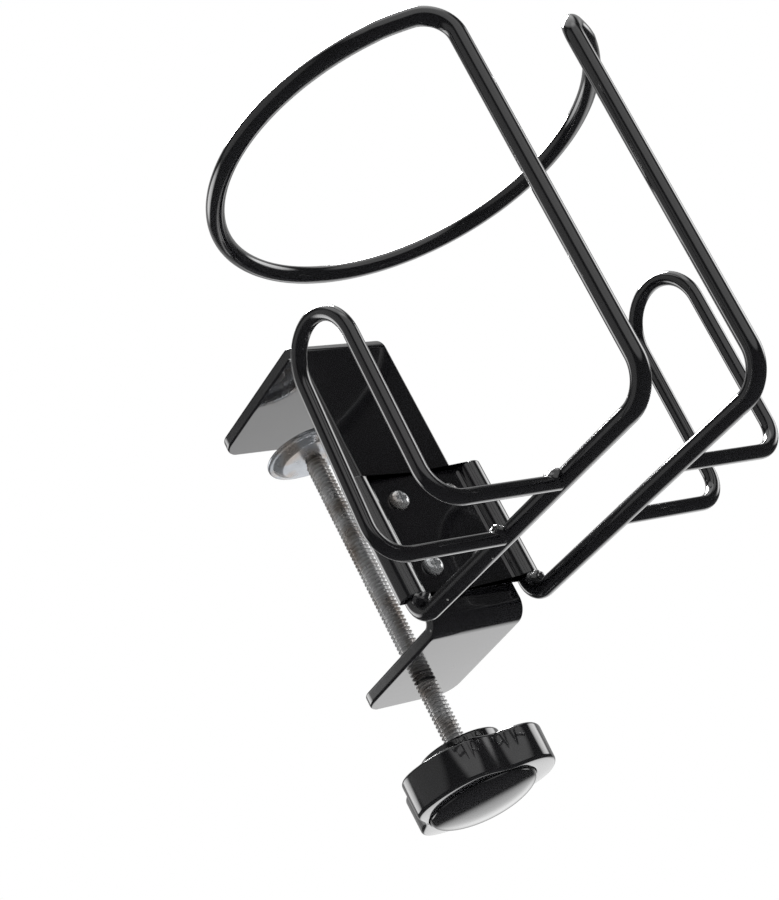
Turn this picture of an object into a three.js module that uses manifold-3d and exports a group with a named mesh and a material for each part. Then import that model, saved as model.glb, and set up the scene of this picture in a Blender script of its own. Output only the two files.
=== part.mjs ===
// Desk clamp cup holder: a bent steel C-clamp with a star-knob screw, and a wire cradle held to it
// by a pressed plate. Millimetres, +Z up. The screw runs along Z at x = y = 0; z = 0 is the underside
// of the upper jaw, which rests on the desk top; -Y points away from the desk, towards the cup.
import * as THREE from 'three';
import { mergeVertices } from 'three/addons/utils/BufferGeometryUtils.js';
import Module from 'manifold-3d';

const wasm = await Module();
wasm.setup();

// ---- driving dimensions -------------------------------------------------------------------------
const GAP = 0.3;               // clearance kept between touching pieces

const STRIP_W = 32;            // clamp bracket: width and thickness of the steel strip
const STRIP_T = 3.6;
const BEND_R = 5.4;            // outside radius of its two bends
const CORNER_R = 6;            // rounded corners of the two jaws
const JAW_END_Y = 18.8;        // free end of the upper jaw
const FOOT_END_Y = 10.9;       // free end of the lower jaw
const WEB_Y = -33.6;           // outer face of the upright web
const FOOT_Z = -93.5;          // underside of the lower jaw

const WIRE_R = 2.5;            // cradle wire
const LOOP_R = 2;              // side loop wire
const LEG_X = 20.1;            // the wire's legs and the uprights' tops stand at x = +-LEG_X, +-TOP_X,
const KNEE_X = { left: 19.7, right: 18.9 };    // and the arms converge a little to the uprights' feet,
const KNEE_LIFT = { left: 0.6, right: 0 };     // the left one of which is bent up slightly
const TOP_X = 20.2;
const LEG_Y = -34.6;           // plane of the legs, under the plate's beads
const ARM_Z = -89.7;           // level of the arms where they leave the legs
const LEG_H = 36.6;            // legs reach this far above the arms
const ARM_L = 105.9;           // length of the arms
const UPRIGHT_H = 114.4;       // height of the uprights and of the ring above the arms
const RING_R = 55.7;           // ring, to the wire's centre, and how far out its centre stands
const RING_Y = -54.5;
const RING_FALL = 2;         // the ring's far side is this much lower than its ends
const DROOP = THREE.MathUtils.degToRad(2.6);   // the cradle leans out from square by this much
const FOOT_BEND = 5.5;         // bend radii of the wire at the legs, at the arms' ends and at the ring
const ARM_BEND = 10;
const RING_BEND = 9;

const LOOP_X = 59.2;           // side loops: distance out, the two legs' places, bend; the left
const LOOP_SPREAD = 0.8;
const LOOP_Y = [-67.8, -42.1];
const LOOP_BEND = 9;           // loop is lower than the right one and its back leg leans
const LOOP_H = { left: 58.4, right: 62.3 };
const LOOP_LEAN = { left: 2.1, right: 0 };

const PLATE_T = 1.2;           // pressed plate that holds the wire's legs against the bracket
const PLATE_Z = [-84, -46.2];
const BEAD_R = WIRE_R + GAP + PLATE_T / 2;     // bead over each leg, to the middle of the sheet
const OGEE_R = 2;
const SCREW_X = 9;             // four plate screws
const SCREW_Z = [-75.3, -53.9];

const THREAD_R = 3.15;         // clamp screw
const NECK_R = 2.2;
const HEX_AF = 11;
const PAD_TOP = -13;           // pressure pad
const PAD_R = 13.6;
const PAD_DISH_R = 10.2;
const PAD_T = 1.2;
const PAD_DEPTH = 1.8;

const HUB_TOP = -114.1;        // star knob: three broad lobes with a narrow flute between each two
const HUB_R = 12;
const KNOB_TOP = -118.4;
const KNOB_H = 11;
const KNOB_R = 22.6;
const LOBES = 3;
const FLUTE = 4.8;
const LOBE_TURN = THREE.MathUtils.degToRad(85);
const CAP_R = 16;
const CAP_H = 4.8;

// ---- materials ----------------------------------------------------------------------------------
const blackPaint = () => new THREE.MeshStandardMaterial({ color: 0x0b0b0c, roughness: 0.22, metalness: 0.1 });
const wirePaint = () => new THREE.MeshStandardMaterial({ color: 0x0a0a0b, roughness: 0.18, metalness: 0.1 });
const zinc = () => new THREE.MeshStandardMaterial({ color: 0xb9bcc0, roughness: 0.3, metalness: 1 });
const blackPlastic = () => new THREE.MeshStandardMaterial({ color: 0x0c0c0d, roughness: 0.25, metalness: 0 });

// ---- solids: joining and cutting ----------------------------------------------------------------
function toSolid(geometry) {
  const bare = geometry.clone();
  bare.deleteAttribute('normal');
  bare.deleteAttribute('uv');
  const merged = mergeVertices(bare.index ? bare.toNonIndexed() : bare, 1e-4);
  return new wasm.Manifold(new wasm.Mesh({
    numProp: 3,
    vertProperties: Float32Array.from(merged.attributes.position.array),
    triVerts: Uint32Array.from(merged.index.array),
  }));
}

function toGeometry(solid) {
  const mesh = solid.getMesh();
  const geometry = new THREE.BufferGeometry();
  geometry.setAttribute('position', new THREE.BufferAttribute(Float32Array.from(mesh.vertProperties), 3));
  geometry.setIndex(new THREE.BufferAttribute(Uint32Array.from(mesh.triVerts), 1));
  geometry.computeVertexNormals();
  return geometry;
}

// a rod from one point along a direction, as a tool for cutting or as a plain shank
function rod(radius, from, direction, length, sides = 24) {
  const dir = new THREE.Vector3(...direction).normalize();
  const geometry = new THREE.CylinderGeometry(radius, radius, length, sides);
  geometry.translate(0, length / 2, 0);
  geometry.applyQuaternion(new THREE.Quaternion().setFromUnitVectors(new THREE.Vector3(0, 1, 0), dir));
  geometry.translate(...from);
  return toSolid(geometry);
}

// a solid of revolution about Z from a profile of [radius, z] points that closes on itself or the axis
function turned(profile, sides = 32) {
  const geometry = new THREE.LatheGeometry(profile.map(([r, z]) => new THREE.Vector2(r, z)), sides);
  geometry.rotateX(Math.PI / 2);
  return geometry;
}

const group = new THREE.Group();

function add(name, geometry, material) {
  const mesh = new THREE.Mesh(geometry, material);
  mesh.name = name;
  group.add(mesh);
}

// ---- bent wire ----------------------------------------------------------------------------------
// A route with one station at each end of a straight and several round each bend, so that the
// straights of the extrusion stay single faces.
class Route extends THREE.Curve {
  constructor(stations) {
    super();
    this.stations = stations;
  }

  at(u) {
    return Math.round(u * (this.stations.length - 1));
  }

  getPointAt(u, target = new THREE.Vector3()) {
    return target.copy(this.stations[this.at(u)]);
  }

  getTangentAt(u, target = new THREE.Vector3()) {
    const i = this.at(u);
    const s = this.stations;
    const before = i > 0 ? s[i].clone().sub(s[i - 1]).normalize() : null;
    const after = i < s.length - 1 ? s[i + 1].clone().sub(s[i]).normalize() : null;
    return target.copy((before ?? after).clone().add(after ?? before)).normalize();
  }
}

// corners are [point, bend radius]; a radius of 0 keeps the point as it is
function bend(corners, arcStep = Math.PI / 10) {
  const stations = [];
  corners.forEach(([p, radius], i) => {
    if (!radius) {
      stations.push(p);
      return;
    }
    const a = corners[i - 1][0].clone().sub(p).normalize();
    const b = corners[i + 1][0].clone().sub(p).normalize();
    const turn = Math.PI - a.angleTo(b);
    const reach = radius * Math.tan(turn / 2);
    const middle = a.clone().add(b).normalize().multiplyScalar(radius / Math.cos(turn / 2));
    const centre = p.clone().add(middle);
    const start = p.clone().addScaledVector(a, reach).sub(centre);
    const axis = start.clone().cross(p.clone().addScaledVector(b, reach).sub(centre)).normalize();
    const count = Math.max(2, Math.ceil(turn / arcStep));
    for (let k = 0; k <= count; k++) {
      stations.push(start.clone().applyAxisAngle(axis, turn * k / count).add(centre));
    }
  });
  return stations;
}

function wire(stations, radius, sides) {
  const section = new THREE.Shape(Array.from({ length: sides }, (_, i) => {
    const a = 2 * Math.PI * (i + 0.5) / sides;
    return new THREE.Vector2(radius * Math.cos(a), radius * Math.sin(a));
  }));
  return new THREE.ExtrudeGeometry(section, {
    steps: stations.length - 1, extrudePath: new Route(stations), bevelEnabled: false,
  });
}

// cradle coordinates (square to itself, from the foot of the legs) to the part's frame
function cradle(x, y, z) {
  const c = Math.cos(DROOP);
  const s = Math.sin(DROOP);
  return new THREE.Vector3(x, LEG_Y + y * c - z * s, ARM_Z + z * c + y * s);
}

// distance of an arm from the middle at a cradle y, and the point on its centre line there
const armX = (sign, y) => LEG_X + (KNEE_X[sign < 0 ? 'left' : 'right'] - LEG_X) * (-y / ARM_L);
const onArm = (sign, y) => cradle(sign * armX(sign, y), y, KNEE_LIFT[sign < 0 ? 'left' : 'right'] * (-y / ARM_L));

// One length of wire: leg, arm, upright, round the ring, and back down the other side.
function cradleWire() {
  const half = Math.asin(TOP_X / RING_R);
  const topY = RING_Y - RING_R * Math.cos(half);
  const ringPoint = (a) => {
    const y = RING_Y - RING_R * Math.cos(a);
    return cradle(-RING_R * Math.sin(a), y, UPRIGHT_H - RING_FALL * (y - topY) / (2 * RING_R));
  };
  const start = half + 0.26;
  const count = 44;
  const ring = Array.from({ length: count + 1 }, (_, i) => {
    const a = start + (2 * Math.PI - 2 * start) * i / count;
    return [ringPoint(a), 0];
  });
  const side = (sign) => [
    [new THREE.Vector3(sign * LEG_X, LEG_Y, ARM_Z + LEG_H), 0],
    [new THREE.Vector3(sign * LEG_X, LEG_Y, ARM_Z), FOOT_BEND],
    [onArm(sign, -ARM_L), ARM_BEND],
    [cradle(sign * TOP_X, topY, UPRIGHT_H), RING_BEND],
  ];
  return wire(bend([...side(-1), ...ring, ...side(1).reverse()]), WIRE_R, 14);
}

// A side loop: a staple of thinner wire whose two feet are butt-welded to the arm.
function sideLoop(side, sign) {
  const [front, back] = LOOP_Y;
  const height = LOOP_H[side];
  const archBack = back - LOOP_LEAN[side];
  const r = (archBack - front) / 2;
  const inner = (y) => sign * (armX(sign, y) + WIRE_R + GAP);
  const arch = Array.from({ length: 13 }, (_, i) => {
    const a = Math.PI * i / 12;
    const z = height - r + r * Math.sin(a);
    return [cradle(sign * (LOOP_X + LOOP_SPREAD * z / height), (front + archBack) / 2 - r * Math.cos(a), z), 0];
  });
  return wire(bend([
    [cradle(inner(front), front, 0), 0],
    [cradle(sign * LOOP_X, front, 0), LOOP_BEND],
    ...arch,
    [cradle(sign * LOOP_X, back, 0), LOOP_BEND],
    [cradle(inner(back), back, 0), 0],
  ]), LOOP_R, 12);
}

add('cradle_wire', cradleWire(), wirePaint());
add('side_loop_left', sideLoop('left', -1), wirePaint());
add('side_loop_right', sideLoop('right', 1), wirePaint());

// ---- welds --------------------------------------------------------------------------------------
// A bead where a loop's foot meets the arm: a lump laid over the joint, fitted round both wires.
function loopWeld(sign, y) {
  const centre = cradle(sign * (armX(sign, y) + WIRE_R + 0.4), y, 0.6);
  const lump = new THREE.SphereGeometry(1, 14, 10);
  lump.scale(2.6, 3.3, 3.1);
  lump.translate(...centre);
  const armStart = onArm(sign, y + 20);
  const armDirection = onArm(sign, y - 20).sub(armStart);
  const arm = rod(WIRE_R + GAP, armStart, armDirection, 40, 24);
  const foot = rod(LOOP_R + GAP, cradle(sign * armX(sign, y), y, 0), [sign, 0, 0], 20, 20);
  return toGeometry(toSolid(lump).subtract(arm).subtract(foot));
}

// A blob in the mouth of each bead of the plate, where the leg leaves it.
function legWeld(sign) {
  const lump = new THREE.SphereGeometry(1, 14, 10);
  lump.scale(3.4, 1.7, 2.3);
  lump.translate(sign * LEG_X, LEG_Y - 3.6, PLATE_Z[0] - 1.2);
  const leg = rod(WIRE_R + GAP, [sign * LEG_X, LEG_Y, ARM_Z - 10], [0, 0, 1], 60, 24);
  const plate = new THREE.BoxGeometry(12, 12, 20);
  plate.translate(sign * LEG_X, LEG_Y, PLATE_Z[0] - GAP + 10);
  const keep = toSolid(lump).subtract(leg).subtract(toSolid(plate));
  return toGeometry(keep.subtract(toSolid(wire(bend([
    [new THREE.Vector3(sign * LEG_X, LEG_Y, ARM_Z + 20), 0],
    [new THREE.Vector3(sign * LEG_X, LEG_Y, ARM_Z), FOOT_BEND],
    [onArm(sign, -20), 0],
  ]), WIRE_R + GAP, 20))));
}

for (const [side, sign] of [['left', -1], ['right', 1]]) {
  add(`weld_${side}_front`, loopWeld(sign, LOOP_Y[0]), wirePaint());
  add(`weld_${side}_back`, loopWeld(sign, LOOP_Y[1]), wirePaint());
  add(`weld_${side}_leg`, legWeld(sign), wirePaint());
}

// ---- clamp bracket ------------------------------------------------------------------------------
// A C in the YZ plane, extruded across X and trimmed to the rounded outline of its jaws.
function clampBracket() {
  const inner = BEND_R - STRIP_T;
  const top = STRIP_T;
  const c = new THREE.Shape();
  c.moveTo(JAW_END_Y, 0);
  c.lineTo(WEB_Y + BEND_R, 0);
  c.absarc(WEB_Y + BEND_R, -inner, inner, Math.PI / 2, Math.PI, false);
  c.lineTo(WEB_Y + STRIP_T, FOOT_Z + BEND_R);
  c.absarc(WEB_Y + BEND_R, FOOT_Z + BEND_R, inner, Math.PI, 1.5 * Math.PI, false);
  c.lineTo(FOOT_END_Y, FOOT_Z + STRIP_T);
  c.lineTo(FOOT_END_Y, FOOT_Z);
  c.lineTo(WEB_Y + BEND_R, FOOT_Z);
  c.absarc(WEB_Y + BEND_R, FOOT_Z + BEND_R, BEND_R, 1.5 * Math.PI, Math.PI, true);
  c.lineTo(WEB_Y, top - BEND_R);
  c.absarc(WEB_Y + BEND_R, top - BEND_R, BEND_R, Math.PI, Math.PI / 2, true);
  c.lineTo(JAW_END_Y, top);
  const strip = new THREE.ExtrudeGeometry(c, { depth: STRIP_W, bevelEnabled: false, curveSegments: 8 });
  strip.rotateZ(Math.PI / 2);
  strip.rotateY(Math.PI / 2);
  strip.translate(-STRIP_W / 2, 0, 0);
  const outline = (endY, z, height) => {
    const w = STRIP_W / 2 + 1;
    const x = STRIP_W / 2;
    const s = new THREE.Shape();
    s.moveTo(-w, WEB_Y - 5);
    s.lineTo(w, WEB_Y - 5);
    s.lineTo(w, endY - CORNER_R);
    s.lineTo(x, endY - CORNER_R);
    s.absarc(x - CORNER_R, endY - CORNER_R, CORNER_R, 0, Math.PI / 2, false);
    s.lineTo(-x + CORNER_R, endY);
    s.absarc(-x + CORNER_R, endY - CORNER_R, CORNER_R, Math.PI / 2, Math.PI, false);
    s.lineTo(-w, endY - CORNER_R);
    const prism = new THREE.ExtrudeGeometry(s, { depth: height, bevelEnabled: false, curveSegments: 8 });
    prism.translate(0, 0, z);
    return toSolid(prism);
  };
  const split = (top + FOOT_Z) / 2;
  const keep = outline(JAW_END_Y, split, 60).add(outline(FOOT_END_Y, split - 60, 60.01));
  let solid = toSolid(strip).intersect(keep);
  solid = solid.subtract(rod(THREAD_R + GAP, [0, 0, FOOT_Z - 5], [0, 0, 1], 15, 32));
  for (const x of [-SCREW_X, SCREW_X]) {
    for (const z of SCREW_Z) {
      solid = solid.subtract(rod(1.8, [x, WEB_Y - 5, z], [0, 1, 0], 15, 16));
    }
  }
  return toGeometry(solid);
}

add('clamp_bracket', clampBracket(), blackPaint());

// ---- mounting plate -----------------------------------------------------------------------------
// Section of the sheet in XY, built as two offsets of one middle line: a flat, an ogee up, and a
// bead over each leg that wraps round to the back.
function mountingPlate() {
  const flatY = WEB_Y - GAP - PLATE_T / 2;
  const ogeeY = flatY - OGEE_R;
  const reach = OGEE_R + BEAD_R;
  const ogeeX = LEG_X - Math.sqrt(reach ** 2 - (ogeeY - LEG_Y) ** 2);
  const meet = Math.atan2(LEG_Y - ogeeY, LEG_X - ogeeX);     // from the ogee's centre to the bead's
  const end = THREE.MathUtils.degToRad(22);
  const half = (offset) => {
    const points = [];
    const steps = 5;
    for (let i = 0; i <= steps; i++) {
      const a = Math.PI / 2 + (meet - Math.PI / 2) * i / steps;
      points.push([ogeeX + (OGEE_R + offset) * Math.cos(a), ogeeY + (OGEE_R + offset) * Math.sin(a)]);
    }
    const from = meet + Math.PI;
    const to = 2 * Math.PI + end;
    for (let i = 1; i <= 14; i++) {
      const a = from + (to - from) * i / 14;
      points.push([LEG_X + (BEAD_R - offset) * Math.cos(a), LEG_Y + (BEAD_R - offset) * Math.sin(a)]);
    }
    return points;
  };
  const side = (offset) => {
    const right = half(offset);
    const left = right.map(([x, y]) => [-x, y]).reverse();
    return [...left, ...right];
  };
  const outline = [...side(PLATE_T / 2), ...side(-PLATE_T / 2).reverse()];
  const section = new THREE.Shape(outline.map(([x, y]) => new THREE.Vector2(x, y)));
  const sheet = new THREE.ExtrudeGeometry(section, { depth: PLATE_Z[1] - PLATE_Z[0], bevelEnabled: false });
  sheet.translate(0, 0, PLATE_Z[0]);
  let solid = toSolid(sheet);
  for (const x of [-SCREW_X, SCREW_X]) {
    for (const z of SCREW_Z) {
      solid = solid.subtract(rod(1.8, [x, WEB_Y - 8, z], [0, 1, 0], 15, 16));
    }
  }
  return toGeometry(solid);
}

add('mounting_plate', mountingPlate(), blackPaint());

// ---- plate screws -------------------------------------------------------------------------------
// Pan heads on the plate's face, shanks through the plate into the tapped web.
function plateScrew(x, z) {
  const seat = WEB_Y - GAP - PLATE_T - GAP;
  const body = turned([
    [0, -5.3], [1.5, -5.3], [1.5, 0], [2.9, 0], [2.9, 0.7], [2.55, 1.5], [1.7, 2], [0, 2.2],
  ], 20);
  body.rotateX(Math.PI / 2);
  body.translate(x, seat, z);
  let solid = toSolid(body);
  for (const [w, h] of [[2.6, 0.6], [0.6, 2.6]]) {
    const slot = new THREE.BoxGeometry(w, 1.6, h);
    slot.translate(x, seat - 2, z);
    solid = solid.subtract(toSolid(slot));
  }
  return toGeometry(solid);
}

[[-1, 0, 'lower_left'], [1, 0, 'lower_right'], [-1, 1, 'upper_left'], [1, 1, 'upper_right']]
  .forEach(([sign, row, place]) => add(`plate_screw_${place}`,
    plateScrew(sign * SCREW_X, SCREW_Z[row]), zinc()));

// ---- clamp screw --------------------------------------------------------------------------------
// Riveted head in the pad's dish, neck, threaded shank (plain at its outside diameter), hex head.
function clampScrew() {
  const dish = PAD_TOP - PAD_DEPTH;
  const shoulder = dish - PAD_T - GAP;
  const hexTop = KNOB_TOP - 3.7;
  const shank = turned([
    [0, hexTop - 2], [THREAD_R, hexTop - 2], [THREAD_R, shoulder - 0.5], [THREAD_R - 0.5, shoulder],
    [NECK_R, shoulder], [NECK_R, dish + GAP], [4, dish + GAP], [3.7, dish + GAP + 0.8],
    [2.4, dish + GAP + 1.2], [0, dish + GAP + 1.2],
  ], 24);
  const hex = new THREE.CylinderGeometry(HEX_AF / Math.sqrt(3), HEX_AF / Math.sqrt(3), 4.4, 6);
  hex.rotateX(Math.PI / 2);
  hex.translate(0, 0, hexTop - 2.2);
  return toGeometry(toSolid(shank).add(toSolid(hex)));
}

add('clamp_screw', clampScrew(), zinc());

// ---- pressure pad -------------------------------------------------------------------------------
function pressurePad() {
  const dish = PAD_TOP - PAD_DEPTH;
  const hole = NECK_R + GAP;
  return turned([
    [hole, dish - PAD_T], [PAD_DISH_R, dish - PAD_T], [PAD_R - 0.9, PAD_TOP - PAD_T], [PAD_R, PAD_TOP - PAD_T],
    [PAD_R, PAD_TOP - 0.3], [PAD_R - 0.3, PAD_TOP], [PAD_R - 1.6, PAD_TOP], [PAD_DISH_R - 0.4, dish],
    [hole, dish], [hole, dish - PAD_T],
  ], 40);
}

add('pressure_pad', pressurePad(), zinc());

// ---- star knob ----------------------------------------------------------------------------------
// radius of the lobed rim at an angle: KNOB_R on the lobes, FLUTE less in the flutes
function rim(a) {
  const wave = (1 - Math.cos(LOBES * (a - LOBE_TURN))) / 2;
  return KNOB_R - FLUTE * wave ** 2.4;
}

function knobBody() {
  const bevel = 0.8;
  const star = new THREE.Shape(Array.from({ length: 84 }, (_, i) => {
    const a = 2 * Math.PI * i / 84;
    return new THREE.Vector2((rim(a) - bevel) * Math.cos(a), (rim(a) - bevel) * Math.sin(a));
  }));
  const lobes = new THREE.ExtrudeGeometry(star, {
    depth: KNOB_H - 2 * bevel, bevelThickness: bevel, bevelSize: bevel, bevelSegments: 1,
  });
  lobes.translate(0, 0, KNOB_TOP - KNOB_H + bevel);
  const hub = turned([[0, KNOB_TOP - 2], [HUB_R, KNOB_TOP - 2], [HUB_R, HUB_TOP - 0.8],
    [HUB_R - 0.8, HUB_TOP], [0, HUB_TOP]], 36);
  const hexTop = KNOB_TOP - 3.7 + GAP;
  const pocket = new THREE.CylinderGeometry(HEX_AF / Math.sqrt(3) + 0.35, HEX_AF / Math.sqrt(3) + 0.35, 20, 6);
  pocket.rotateX(Math.PI / 2);
  pocket.translate(0, 0, hexTop - 10);
  const seat = rod(CAP_R + GAP, [0, 0, KNOB_TOP - KNOB_H + 1.5], [0, 0, -1], 5, 40);
  return toGeometry(toSolid(lobes).add(toSolid(hub)).subtract(toSolid(pocket)).subtract(seat)
    .subtract(rod(THREAD_R + GAP, [0, 0, HUB_TOP + 2], [0, 0, -1], 15, 24)));
}

// Domed cap pressed into the knob's underside, over the screw's head.
function knobCap() {
  const top = KNOB_TOP - KNOB_H + 1.5 - GAP;
  const edge = top - 1.4;
  const profile = [[0, top], [CAP_R, top], [CAP_R, edge]];
  for (let i = 1; i <= 7; i++) {
    const a = Math.PI / 2 * i / 8;
    profile.push([CAP_R * Math.cos(a), edge - CAP_H * Math.sin(a)]);
  }
  return turned([...profile, [0, edge - CAP_H]].reverse(), 36);
}

add('knob_body', knobBody(), blackPlastic());
add('knob_cap', knobCap(), blackPlastic());

export default group;
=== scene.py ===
import math

import bpy
import numpy as np
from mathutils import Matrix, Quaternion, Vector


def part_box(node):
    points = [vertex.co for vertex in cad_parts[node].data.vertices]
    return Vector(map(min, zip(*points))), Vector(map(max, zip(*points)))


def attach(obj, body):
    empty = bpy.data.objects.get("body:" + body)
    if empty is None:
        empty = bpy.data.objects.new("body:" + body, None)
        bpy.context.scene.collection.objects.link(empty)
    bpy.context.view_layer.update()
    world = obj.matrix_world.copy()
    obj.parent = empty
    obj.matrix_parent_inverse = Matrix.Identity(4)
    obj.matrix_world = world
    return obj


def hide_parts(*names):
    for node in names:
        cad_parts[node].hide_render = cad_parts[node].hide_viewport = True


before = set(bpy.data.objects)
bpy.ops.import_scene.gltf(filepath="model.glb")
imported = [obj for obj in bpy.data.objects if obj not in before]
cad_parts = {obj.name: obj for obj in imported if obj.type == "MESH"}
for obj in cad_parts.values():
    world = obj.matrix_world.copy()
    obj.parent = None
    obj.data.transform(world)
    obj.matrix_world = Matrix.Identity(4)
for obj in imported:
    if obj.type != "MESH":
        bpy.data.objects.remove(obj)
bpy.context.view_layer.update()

# ---------------------------------------------------------------------------------------------
# Clamp bracket: one mild-steel strip, sheared with rounded corners, folded over two tight bends
# into a C and covered in gloss black paint, which rounds its edges and traps a little dust.
# ---------------------------------------------------------------------------------------------
EASE = 0.0003                      # a spare station this close to an arc keeps the flats beside it flat
strip_low, strip_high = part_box("clamp_bracket")
STRIP_T = strip_high.z             # the upper jaw's underside is at z = 0
STRIP_EDGE = 0.0006                # paint-rounded edge of the strip
STRIP_CORNER = 0.006
STRIP_BEND = 0.0036                # bend radius at the middle of the strip
FOOT_END = 0.0109                  # free end of the lower jaw


def skin(name, rings, looped=False):
    """Mesh over a grid of rings, where point (i, j) is place j round ring i. Quads join neighbours.
    The two end rings are closed by fans from their mean points, or joined to each other when looped.
    The signed volume, the sum of a . (b x c) / 6 over the triangles, turns the faces outwards."""
    m, n, _ = rings.shape
    rows = np.arange(m if looped else m - 1)[:, None]
    j = np.arange(n)[None]
    k, below = (j + 1) % n, (rows + 1) % m
    quads = np.stack([rows * n + j, rows * n + k, below * n + k, below * n + j], -1).reshape(-1, 4)
    points, tris = rings.reshape(-1, 3), np.zeros((0, 3), int)
    if not looped:
        points = np.concatenate([points, rings[:1].mean(1), rings[-1:].mean(1)])
        j, k = j[0], k[0]
        tris = np.concatenate([
            np.stack([k, j, np.full(n, m * n)], -1),
            np.stack([(m - 1) * n + j, (m - 1) * n + k, np.full(n, m * n + 1)], -1)])
    every = np.concatenate([quads[:, :3], quads[:, [0, 2, 3]], tris])
    a, b, c = points[every[:, 0]], points[every[:, 1]], points[every[:, 2]]
    if np.einsum("ij,ij->i", a, np.cross(b, c)).sum() < 0:
        quads, tris = quads[:, ::-1], tris[:, ::-1]
    mesh = bpy.data.meshes.new(name)
    mesh.from_pydata(points.tolist(), [], quads.tolist() + tris.tolist())
    mesh.polygons.foreach_set("use_smooth", np.ones(len(mesh.polygons), bool))
    mesh.update()
    piece = bpy.data.objects.new(name, mesh)
    bpy.context.scene.collection.objects.link(piece)
    return piece


def bent(corners, radii, step=math.radians(5)):
    """Stations along straights joined by bends. At a corner q with neighbours p and r, the bend is an
    arc of its radius that leaves the straights radius * tan(turn / 2) away from q, and is sampled as
    centre + radius * (x cos t + y sin t), with x towards its start and y along the first straight."""
    corners = np.asarray(corners, float)
    line = [corners[:1]]
    for p, q, r, radius in zip(corners[:-2], corners[1:-1], corners[2:], radii):
        a, b = (p - q) / np.linalg.norm(p - q), (r - q) / np.linalg.norm(r - q)
        turn = math.pi - math.acos(np.clip(a @ b, -1, 1))
        reach = radius * math.tan(turn / 2)
        centre = q + (a + b) / np.linalg.norm(a + b) * radius / math.cos(turn / 2)
        x = (q + a * reach - centre) / radius
        t = np.linspace(0, turn, max(3, math.ceil(turn / step) + 1))[:, None]
        arc = centre + radius * (x * np.cos(t) - a * np.sin(t))
        line += [arc[:1] + a * EASE, arc, arc[-1:] + b * EASE]
    line.append(corners[-1:])
    return np.concatenate(line)


def along(line):
    """Length along a line of stations, and the unit direction of travel at each."""
    steps = np.diff(line, axis=0)
    lengths = np.linalg.norm(steps, axis=1, keepdims=True)
    units = steps / lengths
    mean = np.concatenate([units[:1], units[:-1] + units[1:], units[-1:]])
    return np.concatenate([[0], np.cumsum(lengths[:, 0])]), mean / np.linalg.norm(mean, axis=1, keepdims=True)


def round_bar(half_width, half_height, edge):
    """Rounded rectangle for each pair of half sizes: four quarter circles of radius edge about the
    corners of a smaller rectangle, with a spare point on the flat at each end of every quarter."""
    quarter = np.linspace(0, math.pi / 2, 6)
    start = np.arange(4) * math.pi / 2
    t = (start[:, None] + quarter).clip(0)
    x, y = edge * np.cos(t), edge * np.sin(t)
    sx, sy = np.array([1, -1, -1, 1])[:, None], np.array([1, 1, -1, -1])[:, None]
    before = np.stack([x[:, 0] + EASE * np.sin(start), y[:, 0] - EASE * np.cos(start)], -1)
    end = start + math.pi / 2
    after = np.stack([x[:, -1] - EASE * np.sin(end), y[:, -1] + EASE * np.cos(end)], -1)
    arc = np.stack([x, y], -1)
    local = np.concatenate([before[:, None], arc, after[:, None]], 1)
    signs = np.stack([np.repeat(sx, 8, 1), np.repeat(sy, 8, 1)], -1)
    inner = np.stack([half_width - edge, half_height - edge], -1)[:, None, None]
    return (inner * signs + local).reshape(len(half_width), -1, 2)


def shader(name, colour, roughness, metallic=0.0, coat=0.0, coat_roughness=0.03):
    """New material; returns it with its Principled shader, whose plain values are set on its own sockets."""
    material = bpy.data.materials.new(name)
    material.use_nodes = True
    surface = material.node_tree.nodes["Principled BSDF"]
    surface.inputs["Base Color"].default_value = (*colour, 1)
    surface.inputs["Roughness"].default_value = roughness
    surface.inputs["Metallic"].default_value = metallic
    surface.inputs["Coat Weight"].default_value = coat
    surface.inputs["Coat Roughness"].default_value = coat_roughness
    return material, surface


def wire_up(material, kind, inputs=(), **settings):
    """Adds one node, sets its plain values and links the outputs given among its inputs."""
    made = material.node_tree.nodes.new(kind)
    for key, value in settings.items():
        setattr(made, key, value)
    for key, value in dict(inputs).items():
        if isinstance(value, bpy.types.NodeSocket):
            material.node_tree.links.new(value, made.inputs[key])
        else:
            made.inputs[key].default_value = value
    return made


def spread(material, value, low, high, out_low, out_high):
    """Map Range from low..high to out_low..out_high, clamped."""
    return wire_up(material, "ShaderNodeMapRange", {
        "Value": value, "From Min": low, "From Max": high, "To Min": out_low, "To Max": out_high}).outputs[0]


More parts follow.
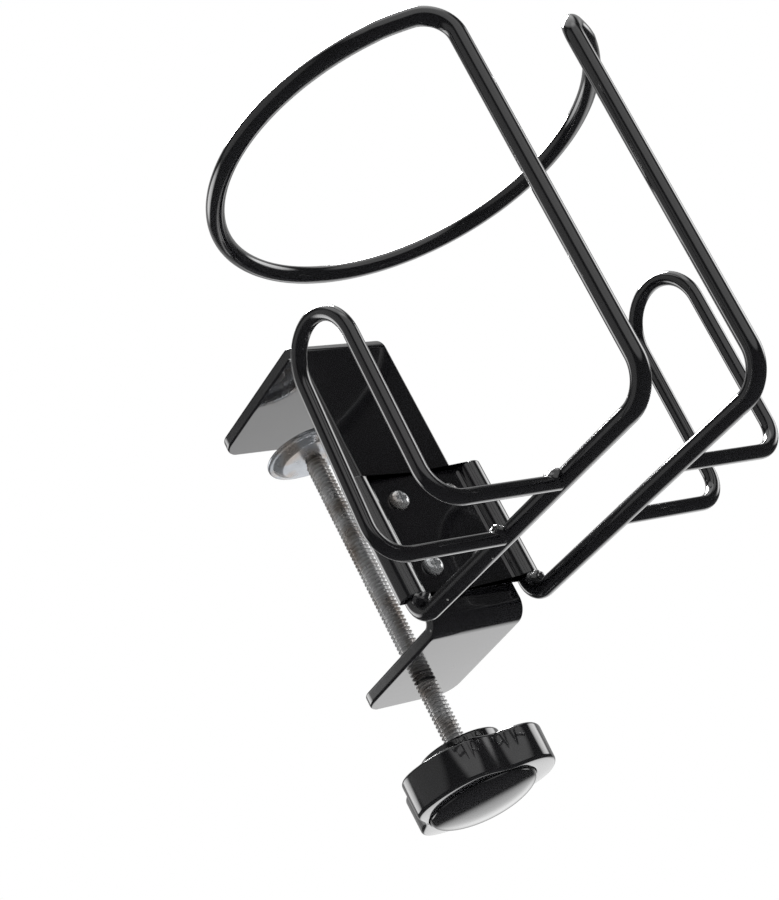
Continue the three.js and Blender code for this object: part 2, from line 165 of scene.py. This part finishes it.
def gloss_black(name, colour, peel, dust, wear):
    """Gloss black finish. Fine noise lifts the surface like orange peel, a slow one varies the gloss,
    a sparse cell pattern leaves specks of dust, and a stretched one rubs faint scuffs into it."""
    material, surface = shader(name, colour, 0.1, coat=1.0, coat_roughness=0.04)
    surface.inputs["Coat IOR"].default_value = 1.6
    at = wire_up(material, "ShaderNodeTexCoord").outputs["Object"]
    cloud = wire_up(material, "ShaderNodeTexNoise", {"Vector": at, "Scale": 60.0, "Detail": 4.0}).outputs[0]
    fine = wire_up(material, "ShaderNodeTexNoise", {"Vector": at, "Scale": 420.0, "Detail": 2.0}).outputs[0]
    cells = wire_up(material, "ShaderNodeTexVoronoi", {"Vector": at, "Scale": 190.0, "Randomness": 1.0})
    speck = spread(material, cells.outputs["Distance"], 0.05, 0.09, 1.0, 0.0)
    pick = wire_up(material, "ShaderNodeSeparateColor", {"Color": cells.outputs["Color"]}).outputs[0]
    some = spread(material, pick, 1.0 - dust, 1.0 - dust + 0.02, 0.0, 1.0)
    dusty = wire_up(material, "ShaderNodeMath", {0: speck, 1: some}, operation="MULTIPLY").outputs[0]
    pulled = wire_up(material, "ShaderNodeMapping", {"Vector": at, "Rotation": (0.5, 0.3, 0.9), "Scale": (1, 9, 1)})
    streaks = wire_up(material, "ShaderNodeTexNoise", {
        "Vector": pulled.outputs[0], "Scale": 130.0, "Detail": 5.0, "Roughness": 0.7}).outputs[0]
    scuff = spread(material, streaks, 0.62, 0.8, 0.0, wear)
    marks = wire_up(material, "ShaderNodeMath", {0: dusty, 1: scuff}, operation="MAXIMUM").outputs[0]
    tone = wire_up(material, "ShaderNodeMix", {0: marks, 6: (*colour, 1), 7: (0.16, 0.16, 0.155, 1)},
                   data_type="RGBA")
    material.node_tree.links.new(tone.outputs[2], surface.inputs["Base Color"])
    gloss = spread(material, cloud, 0.3, 0.7, 0.07, 0.16)
    rough = wire_up(material, "ShaderNodeMath", {0: marks, 1: 0.35, 2: gloss}, operation="MULTIPLY_ADD").outputs[0]
    material.node_tree.links.new(rough, surface.inputs["Roughness"])
    lift = wire_up(material, "ShaderNodeMath", {0: dusty, 1: 0.6, 2: fine}, operation="MULTIPLY_ADD").outputs[0]
    bump = wire_up(material, "ShaderNodeBump", {"Height": lift, "Strength": peel, "Distance": 0.0001})
    material.node_tree.links.new(bump.outputs[0], surface.inputs["Normal"])
    material.node_tree.links.new(bump.outputs[0], surface.inputs["Coat Normal"])
    return material


steel_paint = gloss_black("steel_paint", (0.006, 0.006, 0.007), peel=0.04, dust=0.05, wear=0.015)

mid_y = strip_low.y + STRIP_T / 2
foot_z = strip_low.z + STRIP_T / 2
folded = bent([(0, strip_high.y, STRIP_T / 2), (0, mid_y, STRIP_T / 2), (0, mid_y, foot_z), (0, FOOT_END, foot_z)],
              [STRIP_BEND, STRIP_BEND])
quarter = 1 - np.cos(np.linspace(0, math.pi / 2, 14))
near = np.unique(np.concatenate([STRIP_CORNER * quarter, STRIP_EDGE * quarter, [STRIP_CORNER + EASE]]))
folded = np.concatenate([folded[:1] - (0, 1, 0) * near[:, None], folded[1:-1],
                         folded[-1:] - (0, 1, 0) * near[::-1, None]])
length, travel = along(folded)
from_end = np.minimum(length, length[-1] - length)
corner_in = STRIP_CORNER - from_end.clip(0, STRIP_CORNER)
edge_in = STRIP_EDGE - from_end.clip(0, STRIP_EDGE)
half_w = strip_high.x - STRIP_CORNER + np.sqrt(STRIP_CORNER ** 2 - corner_in ** 2)
half_t = STRIP_T / 2 - 0.7 * STRIP_EDGE + 0.7 * np.sqrt(STRIP_EDGE ** 2 - edge_in ** 2)
section = round_bar(half_w, half_t, STRIP_EDGE)
across = np.array([1.0, 0, 0])
bracket = skin("clamp_bracket_strip", folded[:, None] + section[..., :1] * across
               + section[..., 1:] * np.cross(travel, across)[:, None])
bracket.data.materials.append(steel_paint)
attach(bracket, "frame")
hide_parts("clamp_bracket")

# ---------------------------------------------------------------------------------------------
# Clamp screw: zinc-plated steel, a cut thread of 1.27 mm pitch from the knob to a shoulder, then
# a plain neck through the pad and a riveted head that keeps the pad on.
# ---------------------------------------------------------------------------------------------
THREAD_R = 0.00315
THREAD_DEPTH = 0.00075
PITCH = 0.00127
NECK_R = 0.0022
screw_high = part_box("clamp_screw")[1]
hub_low, hub_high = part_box("knob_body")
pad_low, pad_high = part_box("pressure_pad")


def spun(name, profile, sides=64, looped=False):
    """Surface of revolution about the screw's axis: (r cos a, r sin a, z) for each profile point (r, z)."""
    a = np.linspace(0, 2 * math.pi, sides, endpoint=False)
    r, z = profile[:, :1], profile[:, 1:]
    return skin(name, np.stack([r * np.cos(a), r * np.sin(a), z + 0 * a], -1), looped)


def zinc(name, tint, low, high):
    """Plated steel: a slow noise drifts the passivated colour from tint towards brown-grey, a second
    one varies the polish between low and high, and a fine one pits the plating."""
    material, surface = shader(name, tint, low, metallic=0.8)
    at = wire_up(material, "ShaderNodeTexCoord").outputs["Object"]
    drift = wire_up(material, "ShaderNodeTexNoise", {"Vector": at, "Scale": 140.0, "Detail": 3.0}).outputs[0]
    ramp = wire_up(material, "ShaderNodeValToRGB", {"Fac": drift})
    ramp.color_ramp.elements[0].position, ramp.color_ramp.elements[0].color = 0.34, (0.42, 0.38, 0.35, 1)
    ramp.color_ramp.elements[1].position, ramp.color_ramp.elements[1].color = 0.56, (*tint, 1)
    material.node_tree.links.new(ramp.outputs[0], surface.inputs["Base Color"])
    patch = wire_up(material, "ShaderNodeTexNoise", {"Vector": at, "Scale": 320.0, "Detail": 4.0}).outputs[0]
    material.node_tree.links.new(spread(material, patch, 0.3, 0.7, low, high), surface.inputs["Roughness"])
    pits = wire_up(material, "ShaderNodeTexNoise", {"Vector": at, "Scale": 1500.0, "Detail": 2.0}).outputs[0]
    bump = wire_up(material, "ShaderNodeBump", {"Height": pits, "Strength": 0.12, "Distance": 0.00005})
    material.node_tree.links.new(bump.outputs[0], surface.inputs["Normal"])
    return material


screw_zinc = zinc("screw_zinc", (0.70, 0.70, 0.70), 0.24, 0.42)

shoulder = pad_low.z - 0.0003
rivet_z = screw_high.z - 0.0012
z = np.arange(hub_high.z - 0.006, shoulder, PITCH / 16)
around = np.linspace(0, 2 * math.pi, 28, endpoint=False)
phase = np.abs(2 * ((z[:, None] / PITCH - around / (2 * math.pi)) % 1) - 1)
thread = THREAD_R - THREAD_DEPTH * (1 - ((phase - 0.25) / 0.6).clip(0, 1))
fade = ((shoulder - z[:, None]) / (1.4 * PITCH)).clip(0, 1)
radius = (NECK_R + 0.0001) * (1 - fade) + thread * fade
threaded = np.stack([radius * np.cos(around), radius * np.sin(around), z[:, None] + 0 * around], -1)
head = np.array([(NECK_R, shoulder), (NECK_R, shoulder + EASE), (NECK_R, rivet_z - EASE), (NECK_R, rivet_z),
                 (0.0037, rivet_z), (0.004, rivet_z + 0.0002), (0.0039, rivet_z + 0.0006),
                 (0.0034, rivet_z + 0.00095), (0.0024, rivet_z + 0.00113), (0.0012, rivet_z + 0.0012)])
neck = np.stack([head[:, :1] * np.cos(around), head[:, :1] * np.sin(around), head[:, 1:] + 0 * around], -1)
screw = skin("clamp_screw_thread", np.concatenate([threaded, neck]))
screw.data.materials.append(screw_zinc)
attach(screw, "screw")
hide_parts("clamp_screw")

# ---------------------------------------------------------------------------------------------
# Pressure pad: a pressed and zinc-plated steel cup, riveted loosely on the end of the screw so
# that it grips the desk without turning.
# ---------------------------------------------------------------------------------------------
PAD_HOLE = 0.0025
pad_r, pad_t = pad_high.x, 0.0012
dish_z = pad_low.z + pad_t
pad_profile = np.array([
    (PAD_HOLE, pad_low.z), (PAD_HOLE + 0.0004, pad_low.z), (0.0094, pad_low.z), (0.0099, pad_low.z + 0.00005),
    (0.0103, pad_low.z + 0.0003), (0.0116, pad_high.z - pad_t - 0.0004), (0.0120, pad_high.z - pad_t - 0.0001),
    (0.0124, pad_high.z - pad_t), (pad_r - 0.0005, pad_high.z - pad_t),
    (pad_r - 0.00015, pad_high.z - pad_t + 0.00015), (pad_r, pad_high.z - pad_t + 0.0005),
    (pad_r, pad_high.z - 0.0004), (pad_r - 0.00012, pad_high.z - 0.00012), (pad_r - 0.0004, pad_high.z),
    (0.0122, pad_high.z), (0.0117, pad_high.z - 0.0002), (0.0101, dish_z + 0.0003), (0.0096, dish_z + 0.00005),
    (0.0091, dish_z), (PAD_HOLE + 0.0004, dish_z), (PAD_HOLE, dish_z - 0.0002)])
pad = spun("pressure_pad_cup", pad_profile, 96, looped=True)
pad.data.materials.append(zinc("pad_zinc", (0.44, 0.46, 0.49), 0.14, 0.3))
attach(pad, "pad")
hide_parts("pressure_pad")

# ---------------------------------------------------------------------------------------------
# Star knob: glossy black plastic moulded over the screw's hex head, with a round hub on top, three
# broad lobes parted by narrow flutes, and a domed cap pressed into its underside. Handling has
# scuffed the lobes.
# ---------------------------------------------------------------------------------------------
LOBES = 3
FLUTE = 0.0048
LOBE_TURN = math.radians(85)
HUB_R = 0.012
KNOB_R = 0.0226
KNOB_TOP = hub_high.z - 0.0043
cap_low, cap_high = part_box("knob_cap")


def quarter_turn(centre, radius, start, end, count=7):
    """Arc of a profile about centre, from angle start to angle end in degrees, as (r, z) points."""
    t = np.radians(np.linspace(start, end, count))
    return np.stack([centre[0] + radius * np.cos(t), centre[1] + radius * np.sin(t)], -1)


def lobed(name, profile, share, sides=252):
    """A turned profile whose rim waves: at angle a the radius loses share * FLUTE * w ** 2.4, where
    w = (1 - cos(LOBES (a - LOBE_TURN))) / 2 is 0 on a lobe and 1 in a flute."""
    a = np.linspace(0, 2 * math.pi, sides, endpoint=False)
    wave = ((1 - np.cos(LOBES * (a - LOBE_TURN))) / 2) ** 2.4
    r = profile[:, :1] - FLUTE * share[:, None] * wave
    return skin(name, np.stack([r * np.cos(a), r * np.sin(a), profile[:, 1:] + 0 * a], -1))


under = hub_low.z
parts = [
    [(0.0005, hub_high.z), (HUB_R - 0.0012, hub_high.z)],
    quarter_turn((HUB_R - 0.0009, hub_high.z - 0.0009), 0.0009, 90, 0),
    [(HUB_R, KNOB_TOP + 0.0008)],
    quarter_turn((HUB_R + 0.0005, KNOB_TOP + 0.0005), 0.0005, 180, 270, 5),
    [(HUB_R + 0.0009, KNOB_TOP)],
    [(KNOB_R - 0.0014, KNOB_TOP)],
    quarter_turn((KNOB_R - 0.0012, KNOB_TOP - 0.0012), 0.0012, 90, 4, 8),
    quarter_turn((KNOB_R - 0.0012, under + 0.0010), 0.0010, -4, -90, 8),
    [(0.0167, under), (0.0165, under), (0.01635, under + 0.0001), (0.0163, under + 0.0003), (0.0163, under + 0.0013),
     (0.002, under + 0.0014)],
]
profile = np.concatenate([np.asarray(p, float) for p in parts])
share = ((profile[:, 0] - HUB_R - 0.0012) / (KNOB_R - 0.003 - HUB_R - 0.0012)).clip(0, 1)
share *= (profile[:, 0] > 0.0168) | (profile[:, 1] > under + 0.002)
knob_plastic = gloss_black("knob_plastic", (0.008, 0.008, 0.009), peel=0.06, dust=0.1, wear=0.5)
knob = lobed("knob_lobes", profile, share)
knob.data.materials.append(knob_plastic)
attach(knob, "screw")
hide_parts("knob_body")

cap_r = cap_high.x
t = np.radians(np.linspace(0, 86, 26))
dome = np.stack([cap_r * np.cos(t), cap_high.z - 0.0014 - (cap_high.z - 0.0014 - cap_low.z) * np.sin(t)], -1)
cap_top = [(0.002, cap_high.z), (cap_r - 0.0003, cap_high.z), (cap_r, cap_high.z - 0.0003)]
cap = spun("knob_cap_dome", np.concatenate([cap_top, dome]), 96)
cap.data.materials.append(gloss_black("cap_plastic", (0.008, 0.008, 0.009), peel=0.08, dust=0.05, wear=0.2))
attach(cap, "screw")
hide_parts("knob_cap")

# ---------------------------------------------------------------------------------------------
# Cradle wire: one length of 5 mm steel wire, bent up as leg, arm, upright, once round as the ring
# that holds the cup, and back down the other side. Gloss black paint, the same dip as the rest.
# ---------------------------------------------------------------------------------------------
WIRE_R = 0.0025
LEG_X, TOP_X = 0.0201, 0.0202      # the legs and the uprights' tops stand this far from the middle
KNEE_X = {-1: 0.0197, 1: 0.0189}   # where the uprights' feet stand, left (-1) and right (1)
KNEE_LIFT = {-1: 0.0006, 1: 0.0}   # how far each foot is bent up
LEG_Y = -0.0346
ARM_Z = -0.0897
LEG_H = 0.0366
ARM_L = 0.1059
UPRIGHT_H = 0.1144
RING_R = 0.0557
RING_Y = -0.0545
RING_FALL = 0.002                  # the ring's far side is this much lower than its ends
DROOP = math.radians(2.6)          # the cradle leans this far out from square


def cradle(x, y, z):
    """Point in the part's frame of one given square to the cradle: turned by DROOP about the legs' foot."""
    x, y, z = np.broadcast_arrays(x, y, z)
    c, s = math.cos(DROOP), math.sin(DROOP)
    return np.stack([x + 0.0, LEG_Y + y * c - z * s, ARM_Z + z * c + y * s], -1)


def arm_x(sign, y):
    """How far an arm stands from the middle at y: LEG_X at the legs, KNEE_X at the uprights."""
    return LEG_X + (KNEE_X[sign] - LEG_X) * (-y / ARM_L)


def bent_wire(name, line, radius, sides=32):
    """Round section carried along a line: station + radius * (u cos a + v sin a), with u and v square
    to the travel there. Both ends draw in over half a millimetre to rounded, closed tips."""
    length, travel = along(line)
    u = np.cross(travel, (0.6, -0.6, 0.5))
    u /= np.linalg.norm(u, axis=1, keepdims=True)
    v = np.cross(travel, u)
    tip = 0.0005
    d = np.minimum(length, length[-1] - length).clip(0, tip)
    r = radius - tip + np.sqrt(tip ** 2 - (tip - d) ** 2)
    a = np.linspace(0, 2 * math.pi, sides, endpoint=False)[None, :, None]
    return skin(name, line[:, None] + r[:, None, None] * (u[:, None] * np.cos(a) + v[:, None] * np.sin(a)))


def cut_ends(line):
    """Adds the close stations at both ends that the rounded tips need."""
    close = 0.0005 * (1 - np.cos(np.linspace(0, math.pi / 2, 6)))[1:, None]
    first, last = line[1] - line[0], line[-2] - line[-1]
    return np.concatenate([line[:1], line[:1] + close * first / np.linalg.norm(first), line[1:-1],
                           (line[-1:] + close * last / np.linalg.norm(last))[::-1], line[-1:]])


wire_paint = gloss_black("wire_paint", (0.006, 0.006, 0.007), peel=0.09, dust=0.16, wear=0.1)

half = math.asin(TOP_X / RING_R)
top_y = RING_Y - RING_R * math.cos(half)


def ring_point(a):
    """Point of the ring's centre line at angle a from the gap between the uprights; it falls with y."""
    y = RING_Y - RING_R * np.cos(a)
    return cradle(-RING_R * np.sin(a), y, UPRIGHT_H - RING_FALL * (y - top_y) / (2 * RING_R))


on_ring = half + 0.26
knee = ring_point(on_ring)
onward = (ring_point(on_ring + 0.01) - knee) / (0.01 * RING_R)
half_ways = {}
for sign in (-1, 1):
    lying = bent([(sign * LEG_X, LEG_Y, ARM_Z + LEG_H), (sign * LEG_X, LEG_Y, ARM_Z),
                  cradle(sign * KNEE_X[sign], -ARM_L, KNEE_LIFT[sign]), cradle(sign * TOP_X, top_y, UPRIGHT_H),
                  knee * (-sign, 1, 1), (knee + 0.004 * onward) * (-sign, 1, 1)], [0.0055, 0.010, 0.009, 0.040])
    half_ways[sign] = lying[:-1]
ring = ring_point(np.linspace(on_ring + 0.08, 2 * math.pi - on_ring - 0.08, 140))
left, right = half_ways[-1], half_ways[1][::-1]
cradle_wire = bent_wire("cradle_wire_bent", cut_ends(np.concatenate([left, ring, right])), WIRE_R)
cradle_wire.data.materials.append(wire_paint)
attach(cradle_wire, "frame")
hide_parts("cradle_wire")

# ---------------------------------------------------------------------------------------------
# Side loops: two staples of 4 mm wire that steady the cup, each bent out, up and over in an arch.
# Their feet butt against the arms and are welded there before painting. The left one is lower and
# its back leg leans, as bent by hand.
# ---------------------------------------------------------------------------------------------
LOOP_R = 0.002
LOOP_X = 0.0592
LOOP_SPREAD = 0.0008
LOOP_FRONT, LOOP_BACK = -0.0678, -0.0421
LOOP_BEND = 0.009

for side, sign, loop_h, lean in (("left", -1, 0.0584, 0.0021), ("right", 1, 0.0623, 0.0)):
    arch_r = (LOOP_BACK - lean - LOOP_FRONT) / 2
    a = np.linspace(0, math.pi, 40)
    height = loop_h - arch_r + arch_r * np.sin(a)
    arch = cradle(sign * (LOOP_X + LOOP_SPREAD * height / loop_h),
                  (LOOP_FRONT + LOOP_BACK - lean) / 2 - arch_r * np.cos(a), height)
    front = bent([cradle(sign * (arm_x(sign, LOOP_FRONT) + 0.001), LOOP_FRONT, 0), cradle(sign * LOOP_X, LOOP_FRONT, 0),
                  arch[0]], [LOOP_BEND])[:-1]
    back = bent([arch[-1], cradle(sign * LOOP_X, LOOP_BACK, 0),
                 cradle(sign * (arm_x(sign, LOOP_BACK) + 0.001), LOOP_BACK, 0)], [LOOP_BEND])[1:]
    loop = bent_wire(f"side_loop_{side}_bent", cut_ends(np.concatenate([front, arch, back])), LOOP_R, 28)
    loop.data.materials.append(wire_paint)
    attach(loop, "frame")
    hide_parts(f"side_loop_{side}")

# ---------------------------------------------------------------------------------------------
# Welds: a small bead where each loop's foot meets its arm, and a rougher one in the mouth of each
# of the plate's beads. Left as they cooled, lumpy, and painted over.
# ---------------------------------------------------------------------------------------------
weld_paint = gloss_black("weld_paint", (0.007, 0.007, 0.008), peel=0.5, dust=0.2, wear=0.2)


def weld_bead(name, centre, size, seed, node):
    """A ball stretched to size and set at centre, whose radius ripples by three crossed sine waves:
    1 + 0.10 sin(3u + s) sin(2v) + 0.06 sin(5u - 2s) sin(4v + s) + 0.04 sin(9u + 7v)."""
    v = np.linspace(0.08, math.pi - 0.08, 26)[:, None]
    u = np.linspace(0, 2 * math.pi, 40, endpoint=False)[None]
    r = (1 + 0.10 * np.sin(3 * u + seed) * np.sin(2 * v) + 0.06 * np.sin(5 * u - 2 * seed) * np.sin(4 * v + seed)
         + 0.04 * np.sin(9 * u + 7 * v))
    ball = np.stack([r * np.sin(v) * np.cos(u), r * np.sin(v) * np.sin(u), r * np.cos(v) + 0 * u], -1)
    bead = skin(name, np.asarray(centre) + np.asarray(size) * ball)
    bead.data.materials.append(weld_paint)
    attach(bead, "frame")
    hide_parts(node)


for side, sign in (("left", -1), ("right", 1)):
    for place, y, seed in (("front", LOOP_FRONT, 1.0), ("back", LOOP_BACK, 2.6)):
        centre = cradle(sign * (arm_x(sign, y) + 0.0024), y - 0.0002, 0.0008)
        weld_bead(f"weld_{side}_{place}_bead", centre, (0.0025, 0.0028, 0.0025), seed + sign,
                  f"weld_{side}_{place}")
    leg_low, leg_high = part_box(f"weld_{side}_leg")
    middle = (leg_low + leg_high) / 2
    weld_bead(f"weld_{side}_leg_bead", (middle.x, middle.y + 0.0004, middle.z), (0.0031, 0.0018, 0.0021), 4.0 + sign,
              f"weld_{side}_leg")

# ---------------------------------------------------------------------------------------------
# Mounting plate: pressed 1.2 mm steel, flat where the four screws hold it to the bracket, with an
# ogee up to a half-round bead over each leg of the cradle. Painted like the rest.
# ---------------------------------------------------------------------------------------------
PLATE_T = 0.0012
BEAD_R = WIRE_R + 0.0003 + PLATE_T / 2
OGEE_R = 0.002
plate_low, plate_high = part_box("mounting_plate")
PLATE_EDGE = 0.0004
flat_y = strip_low.y - 0.0003 - PLATE_T / 2
ogee_y = flat_y - OGEE_R
ogee_x = LEG_X - math.sqrt((OGEE_R + BEAD_R) ** 2 - (ogee_y - LEG_Y) ** 2)
meet = math.atan2(LEG_Y - ogee_y, LEG_X - ogee_x)


def plate_line(offset):
    """The sheet's section at an offset from its middle: flat, an ogee arc of OGEE_R + offset, then a bead
    arc of BEAD_R - offset that wraps to the back. Mirrored for the left half."""
    a = np.linspace(math.pi / 2, meet, 10)
    b = np.linspace(meet + math.pi, 2 * math.pi + math.radians(22), 34)[1:]
    half = np.concatenate([
        [(ogee_x - EASE, flat_y + offset)],
        np.stack([ogee_x + (OGEE_R + offset) * np.cos(a), ogee_y + (OGEE_R + offset) * np.sin(a)], -1),
        np.stack([LEG_X + (BEAD_R - offset) * np.cos(b), LEG_Y + (BEAD_R - offset) * np.sin(b)], -1)])
    return np.concatenate([half[::-1] * (-1, 1), half])


quarter = np.linspace(0, math.pi / 2, 6)
ends = PLATE_EDGE * (1 - np.cos(quarter))
levels = np.concatenate([plate_low.z + ends, [plate_low.z + PLATE_EDGE + EASE, plate_high.z - PLATE_EDGE - EASE],
                         (plate_high.z - ends)[::-1]])
thick = np.concatenate([np.sin(quarter), [1, 1], np.sin(quarter)[::-1]]) * PLATE_EDGE + PLATE_T / 2 - PLATE_EDGE
rings = []
for level, h in zip(levels, thick):
    outline = np.concatenate([plate_line(h), plate_line(-h)[::-1]])
    rings.append(np.concatenate([outline, np.full((len(outline), 1), level)], 1))
plate = skin("mounting_plate_pressing", np.stack(rings))
plate.data.materials.append(steel_paint)
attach(plate, "frame")
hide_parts("mounting_plate")

# ---------------------------------------------------------------------------------------------
# Plate screws: four zinc-plated pan-head machine screws with a cross recess, driven through the
# plate into tapped holes in the bracket.
# ---------------------------------------------------------------------------------------------
HEAD_R = 0.0029
HEAD_H = 0.0021
head_zinc = zinc("head_zinc", (0.58, 0.59, 0.60), 0.1, 0.22)
for row in ("lower", "upper"):
    for side in ("left", "right"):
        node = f"plate_screw_{row}_{side}"
        low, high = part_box(node)
        cx, cz = (low.x + high.x) / 2, (low.z + high.z) / 2
        seat = flat_y - PLATE_T / 2
        # height over the seat falls as a dome from the middle, and drops straight at the rim
        a = np.linspace(0, 2 * math.pi, 64, endpoint=False)[None]
        inwards = np.linspace(1, 0.04, 30)
        rim = np.concatenate([[0.0], 0.0006 + (HEAD_H - 0.0006) * np.sqrt(1 - inwards ** 2.6)])[:, None]
        r = np.concatenate([[HEAD_R], HEAD_R * inwards])[:, None]
        x, zz = r * np.cos(a + 0.5), r * np.sin(a + 0.5)
        arm_a = (1 - ((np.abs(x) - 0.00035) / 0.0002).clip(0, 1)) * (1 - ((np.abs(zz) - 0.0014) / 0.0003).clip(0, 1))
        arm_b = (1 - ((np.abs(zz) - 0.00035) / 0.0002).clip(0, 1)) * (1 - ((np.abs(x) - 0.0014) / 0.0003).clip(0, 1))
        proud = rim - 0.0011 * np.maximum(arm_a, arm_b) * (rim > 0.0007)
        head = skin(f"{node}_head", np.stack([cx + x, seat - proud, cz + zz], -1))
        head.data.materials.append(head_zinc)
        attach(head, "frame")
        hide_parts(node)

# ---------------------------------------------------------------------------------------------
# Studio: a pale floor well below, a bright sweep lit from overhead, soft panels to both sides and
# a dim room behind the camera, which looks up at the holder from the cup side.
# ---------------------------------------------------------------------------------------------
FLOOR_Z = -0.5
corners = np.array([(-6, -6, FLOOR_Z), (6, -6, FLOOR_Z), (6, 6, FLOOR_Z), (-6, 6, FLOOR_Z)], float)
floor_mesh = bpy.data.meshes.new("floor")
floor_mesh.from_pydata(corners.tolist(), [], [(0, 1, 2, 3)])
floor = bpy.data.objects.new("floor", floor_mesh)
bpy.context.scene.collection.objects.link(floor)
floor_card = shader("floor_card", (0.88, 0.88, 0.88), 0.8)[0]
floor.data.materials.append(floor_card)
floor.visible_glossy = False

world = bpy.data.worlds.new("studio")
bpy.context.scene.world = world
world.use_nodes = True
tree = world.node_tree
tree.nodes.clear()
facing = wire_up(world, "ShaderNodeTexCoord").outputs["Generated"]
heading_in = np.array([0.672, 0.740, 0.0])         # level heading from the camera to the holder
heading_right = np.array([0.740, -0.672, 0.0])


def panel(total, heading, rise, half_width, radiance, soft=7.0):
    """Adds a round soft panel to the surround: radiance within half_width degrees of its direction,
    fading over soft degrees. Heading 0 is behind the camera, 90 to its right."""
    h, e = math.radians(heading), math.radians(rise)
    towards = math.cos(e) * (-heading_in * math.cos(h) + heading_right * math.sin(h)) + (0, 0, math.sin(e))
    dot = wire_up(world, "ShaderNodeVectorMath", {0: facing, 1: tuple(towards)},
                  operation="DOT_PRODUCT").outputs["Value"]
    glow = wire_up(world, "ShaderNodeMapRange", {
        "Value": dot, "From Min": math.cos(math.radians(half_width + soft)),
        "From Max": math.cos(math.radians(max(0, half_width - soft))), "To Min": 0.0, "To Max": radiance},
        interpolation_type="SMOOTHSTEP").outputs[0]
    return wire_up(world, "ShaderNodeMath", {0: total, 1: glow}, operation="ADD").outputs[0]


light = wire_up(world, "ShaderNodeValue")
light.outputs[0].default_value = 0.05
light = light.outputs[0]
light = panel(light, 37, 30, 34, 0.75)
light = panel(light, -62, 25, 33, 0.3)
light = panel(light, 118, 15, 14, 3.4)
light = panel(light, -118, 15, 14, 3.0)
light = panel(light, 180, 25, 40, 0.35)
light = panel(light, 180, -20, 17, 1.3, 9.0)
light = panel(light, 90, 80, 30, 1.2)
studio = wire_up(world, "ShaderNodeBackground", {"Strength": light})
plain = wire_up(world, "ShaderNodeBackground", {"Color": (1, 1, 1, 1), "Strength": 1.0})
seen = wire_up(world, "ShaderNodeLightPath").outputs["Is Camera Ray"]
both = wire_up(world, "ShaderNodeMixShader", {0: seen, 1: studio.outputs[0], 2: plain.outputs[0]})
wire_up(world, "ShaderNodeOutputWorld", {"Surface": both.outputs[0]})

key_data = bpy.data.lights.new("overhead_softbox", "AREA")
key_data.shape = "DISK"
key_data.size = 1.2
key_data.energy = 110
key = bpy.data.objects.new("overhead_softbox", key_data)
bpy.context.scene.collection.objects.link(key)
key.location = (0.62, 0.68, 1.7)

camera_data = bpy.data.cameras.new("camera")
camera_data.lens = 76.38
camera_data.sensor_width = 36
camera_data.clip_start = 0.01
camera = bpy.data.objects.new("camera", camera_data)
bpy.context.scene.collection.objects.link(camera)
camera.location = (-0.329535, -0.394110, -0.253617)
camera.rotation_mode = "QUATERNION"
camera.rotation_quaternion = Quaternion((0.44631, 0.83193, -0.10685, -0.31191))
bpy.context.scene.camera = camera
bpy.context.scene.view_settings.view_transform = "Standard"
bpy.context.view_layer.update()
